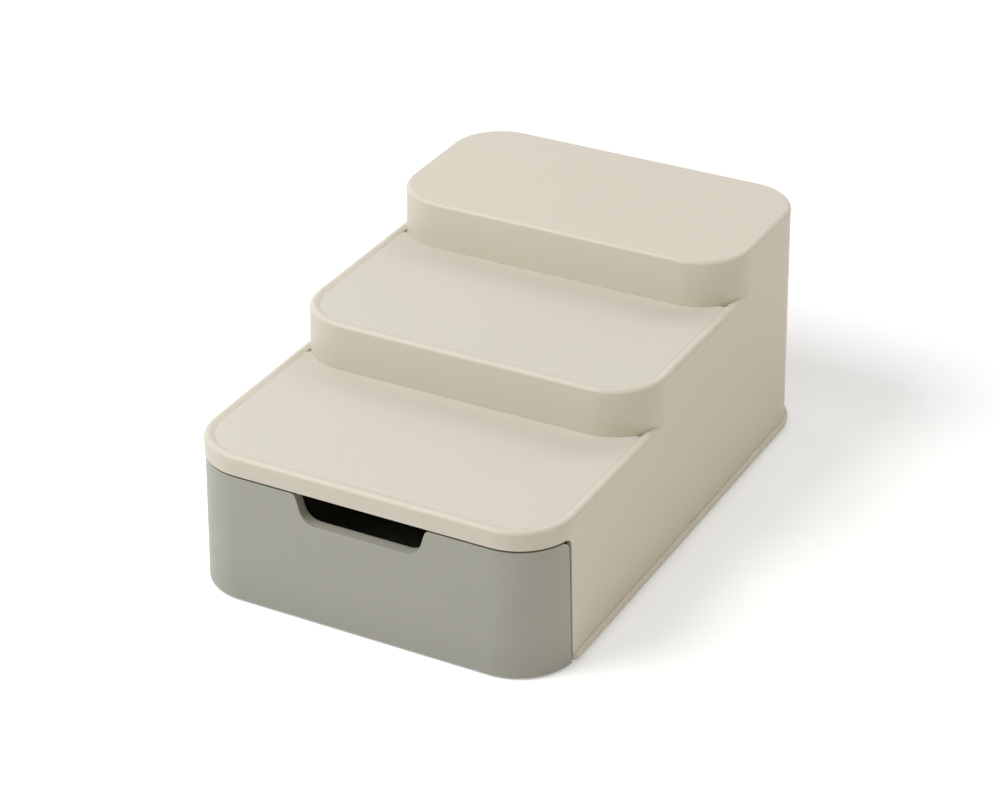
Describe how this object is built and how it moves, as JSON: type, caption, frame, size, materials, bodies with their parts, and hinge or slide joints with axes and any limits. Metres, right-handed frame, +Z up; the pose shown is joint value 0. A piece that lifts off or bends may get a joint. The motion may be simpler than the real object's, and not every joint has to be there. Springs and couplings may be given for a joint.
{
  "type": "tiered condiment caddy with drawer",
  "caption": "Stepped countertop caddy: tiers with non-slip mats hold jars and bottles at rising heights over a full-width slide-out drawer with a finger notch.",
  "frame": {"origin": "centre of the footprint, on the surface that the feet stand on", "axes": "+Z up, -Y towards the front of the drawer, +X to the right seen from the front"},
  "size_m": [0.2164, 0.3262, 0.1377],
  "materials": {
    "housing_plastic": "warm greige moulded polypropylene, fine satin grain",
    "base_plastic": "warm greige moulded polypropylene, fine satin grain",
    "drawer_plastic": "sage grey moulded polypropylene, fine satin grain",
    "mat_rubber": "matte thermoplastic rubber, fine grain",
    "foot_rubber": "grey thermoplastic rubber, matte",
    "screw_steel": "zinc-plated steel"
  },
  "bodies": {
    "root": {"stepped_housing": "housing_plastic", "base_plate": "base_plastic", "lower_tier_mat": "mat_rubber", "middle_tier_mat": "mat_rubber", "foot_front_left": "foot_rubber", "foot_front_right": "foot_rubber", "foot_rear_left": "foot_rubber", "foot_rear_right": "foot_rubber", "base_screws": "screw_steel"},
    "drawer": {"drawer": "drawer_plastic"}
  },
  "joints": [
    {"name": "drawer_slide", "type": "slide", "parent": "root", "child": "drawer", "axis": [0, -1, 0], "range_m": [0, 0.22]}
  ]
}
